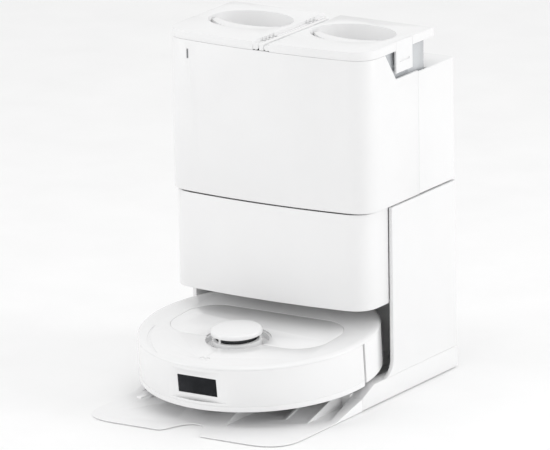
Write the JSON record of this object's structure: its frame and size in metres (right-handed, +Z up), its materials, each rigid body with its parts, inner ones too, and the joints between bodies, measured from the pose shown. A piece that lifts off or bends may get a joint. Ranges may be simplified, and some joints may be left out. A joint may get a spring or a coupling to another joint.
{
  "type": "robot vacuum with cleaning station",
  "caption": "Round robot vacuum docked in a tall cleaning station with two lidded water tanks, a dust cabinet and a ramp.",
  "frame": {"origin": "on the floor, at the middle of the footprint of the station with its ramp", "axes": "+Z up, -Y the front where the robot drives out, +X to the right seen from the front"},
  "size_m": [0.35, 0.487, 0.521],
  "materials": {
    "shell_white": "satin white moulded plastic",
    "inner_white": "matt pale moulded plastic",
    "tank_plastic": "smoked pale tank plastic",
    "status_light": "light pipe",
    "black_gloss": "black glossy window",
    "dark_plastic": "dark moulded plastic",
    "grey_plastic": "grey moulded plastic",
    "rubber": "black rubber",
    "tyre": "ribbed black tyre",
    "steel": "bright steel",
    "mop_fabric": "microfibre pile",
    "bag_fabric": "non-woven dust bag"
  },
  "bodies": {
    "station": {"ramp_tray": "shell_white", "base_plate": "shell_white", "wash_basin": "inner_white", "foot_front_left": "rubber", "foot_front_right": "rubber", "foot_rear_left": "rubber", "foot_rear_right": "rubber", "left_side_panel": "shell_white", "right_side_panel": "shell_white", "inner_back_wall": "inner_white", "bay_ceiling": "inner_white", "dust_bag": "bag_fabric", "suction_motor": "dark_plastic", "back_cover": "shell_white", "power_inlet": "dark_plastic", "water_pump": "grey_plastic", "control_board": "grey_plastic", "tank_deck": "inner_white", "front_shell": "shell_white", "status_light": "status_light", "rear_shell": "shell_white", "centre_spine": "shell_white"},
    "dust_door": {"dust_door": "shell_white"},
    "contact_left": {"charge_contact_left": "steel"},
    "contact_right": {"charge_contact_right": "steel"},
    "robot": {"robot_chassis": "dark_plastic", "robot_shell": "shell_white", "battery": "grey_plastic", "fan_motor": "dark_plastic"},
    "bumper": {"robot_bumper": "shell_white", "camera_window": "black_gloss"},
    "cover": {"top_cover": "shell_white"},
    "bin": {"dustbin": "tank_plastic"},
    "lidar_turret": {"lidar_turret": "dark_plastic"},
    "lidar_cap": {"lidar_cap": "shell_white"},
    "power_button": {"power_button": "shell_white"},
    "home_button": {"home_button": "shell_white"},
    "arm_left": {"wheel_arm_left": "dark_plastic"},
    "arm_right": {"wheel_arm_right": "dark_plastic"},
    "wheel_left": {"wheel_left": "tyre"},
    "wheel_right": {"wheel_right": "tyre"},
    "caster_fork": {"caster_fork": "grey_plastic"},
    "caster_wheel": {"caster_wheel": "rubber"},
    "main_brush": {"main_brush": "grey_plastic"},
    "side_brush": {"side_brush": "inner_white"},
    "mop_carrier": {"mop_carrier": "grey_plastic"},
    "mop_left": {"mop_pad_left": "mop_fabric"},
    "mop_right": {"mop_pad_right": "mop_fabric"},
    "dirty_tank": {"dirty_tank": "tank_plastic", "dirty_hinge_pin": "steel"},
    "dirty_lid": {"dirty_lid": "shell_white", "dirty_lid_seal": "rubber"},
    "dirty_handle": {"dirty_handle": "shell_white"},
    "dirty_latch": {"dirty_latch": "shell_white"},
    "clean_tank": {"clean_tank": "tank_plastic", "clean_hinge_pin": "steel"},
    "clean_lid": {"clean_lid": "shell_white", "clean_lid_seal": "rubber"},
    "clean_handle": {"clean_handle": "shell_white"},
    "clean_latch": {"clean_latch": "shell_white"}
  },
  "joints": [
    {"name": "robot_drive", "type": "slide", "parent": "station", "child": "robot", "axis": [0, -0.9966, -0.0826], "range_m": [0, 0.2]},
    {"name": "dust_door_pull", "type": "slide", "parent": "station", "child": "dust_door", "axis": [0, -1, 0], "range_m": [0, 0.15]},
    {"name": "contact_left_press", "type": "slide", "parent": "station", "child": "contact_left", "axis": [0, 1, 0], "range_m": [0, 0.003], "stiffness_N_per_m": 400},
    {"name": "contact_right_press", "type": "slide", "parent": "station", "child": "contact_right", "axis": [0, 1, 0], "range_m": [0, 0.003], "stiffness_N_per_m": 400},
    {"name": "bumper_press", "type": "slide", "parent": "robot", "child": "bumper", "axis": [0, 0.9966, 0.0826], "range_m": [0, 0.003], "stiffness_N_per_m": 900},
    {"name": "top_cover_lift", "type": "slide", "parent": "robot", "child": "cover", "axis": [0, -0.0826, 0.9966], "range_m": [0, 0.028]},
    {"name": "dustbin_lift", "type": "slide", "parent": "robot", "child": "bin", "axis": [0, -0.0826, 0.9966], "range_m": [0, 0.0168]},
    {"name": "lidar_spin", "type": "hinge", "parent": "robot", "child": "lidar_turret", "pos_m": [0, -0.08683, 0.10692], "axis": [0, -0.0826, 0.9966], "continuous": true},
    {"name": "lidar_cap_press", "type": "slide", "parent": "robot", "child": "lidar_cap", "axis": [0, 0.0826, -0.9966], "range_m": [0, 0.0015], "stiffness_N_per_m": 900},
    {"name": "power_button_press", "type": "slide", "parent": "robot", "child": "power_button", "axis": [0, 0.0826, -0.9966], "range_m": [0, 0.0008], "stiffness_N_per_m": 300},
    {"name": "home_button_press", "type": "slide", "parent": "robot", "child": "home_button", "axis": [0, 0.0826, -0.9966], "range_m": [0, 0.0008], "stiffness_N_per_m": 300},
    {"name": "suspension_left", "type": "hinge", "parent": "robot", "child": "arm_left", "pos_m": [-0.097, -0.07073, 0.05808], "axis": [1, 0, 0], "range_deg": [0, 7], "stiffness_Nm_per_rad": 6},
    {"name": "wheel_left_spin", "type": "hinge", "parent": "arm_left", "child": "wheel_left", "pos_m": [-0.115, -0.02489, 0.06188], "axis": [1, 0, 0], "continuous": true},
    {"name": "suspension_right", "type": "hinge", "parent": "robot", "child": "arm_right", "pos_m": [0.097, -0.07073, 0.05808], "axis": [1, 0, 0], "range_deg": [0, 7], "stiffness_Nm_per_rad": 6},
    {"name": "wheel_right_spin", "type": "hinge", "parent": "arm_right", "child": "wheel_right", "pos_m": [0.115, -0.02489, 0.06188], "axis": [1, 0, 0], "continuous": true},
    {"name": "caster_swivel", "type": "hinge", "parent": "robot", "child": "caster_fork", "pos_m": [0, -0.14905, 0.04657], "axis": [0, -0.0826, 0.9966], "continuous": true},
    {"name": "caster_roll", "type": "hinge", "parent": "caster_fork", "child": "caster_wheel", "pos_m": [0, -0.13967, 0.03029], "axis": [1, 0, 0], "continuous": true},
    {"name": "main_brush_spin", "type": "hinge", "parent": "robot", "child": "main_brush", "pos_m": [0, -0.06742, 0.0423], "axis": [1, 0, 0], "continuous": true},
    {"name": "side_brush_spin", "type": "hinge", "parent": "robot", "child": "side_brush", "pos_m": [-0.105, -0.12705, 0.02331], "axis": [0, -0.0826, 0.9966], "continuous": true},
    {"name": "mop_lift", "type": "slide", "parent": "robot", "child": "mop_carrier", "axis": [0, -0.0826, 0.9966], "range_m": [0, 0.008]},
    {"name": "mop_left_spin", "type": "hinge", "parent": "mop_carrier", "child": "mop_left", "pos_m": [-0.062, 0.07342, 0.03792], "axis": [0, -0.0826, 0.9966], "continuous": true},
    {"name": "mop_right_spin", "type": "hinge", "parent": "mop_carrier", "child": "mop_right", "pos_m": [0.062, 0.07342, 0.03792], "axis": [0, -0.0826, 0.9966], "continuous": true},
    {"name": "dirty_tank_lift", "type": "slide", "parent": "station", "child": "dirty_tank", "axis": [0, 0, 1], "range_m": [0, 0.24]},
    {"name": "dirty_lid_open", "type": "hinge", "parent": "dirty_tank", "child": "dirty_lid", "pos_m": [-0.009, 0.084, 0.513], "axis": [0, 1, 0], "range_deg": [0, 60]},
    {"name": "dirty_handle_swing", "type": "hinge", "parent": "dirty_lid", "child": "dirty_handle", "pos_m": [-0.086, 0.1, 0.5125], "axis": [-1, 0, 0], "range_deg": [0, 90]},
    {"name": "dirty_latch_swing", "type": "hinge", "parent": "dirty_lid", "child": "dirty_latch", "pos_m": [-0.1663, 0.1025, 0.521], "axis": [0, 1, 0], "range_deg": [0, 55]},
    {"name": "clean_tank_lift", "type": "slide", "parent": "station", "child": "clean_tank", "axis": [0, 0, 1], "range_m": [0, 0.24]},
    {"name": "clean_lid_open", "type": "hinge", "parent": "clean_tank", "child": "clean_lid", "pos_m": [0.009, 0.084, 0.513], "axis": [0, -1, 0], "range_deg": [0, 60]},
    {"name": "clean_handle_swing", "type": "hinge", "parent": "clean_lid", "child": "clean_handle", "pos_m": [0.086, 0.1, 0.5125], "axis": [-1, 0, 0], "range_deg": [0, 90]},
    {"name": "clean_latch_swing", "type": "hinge", "parent": "clean_lid", "child": "clean_latch", "pos_m": [0.1663, 0.1025, 0.521], "axis": [0, -1, 0], "range_deg": [0, 55]}
  ],
  "couplings": [
    {"joint": "mop_right_spin", "follows": "mop_left_spin", "ratio": -1},
    {"joint": "dustbin_lift", "follows": "top_cover_lift", "ratio": 0.6}
  ]
}
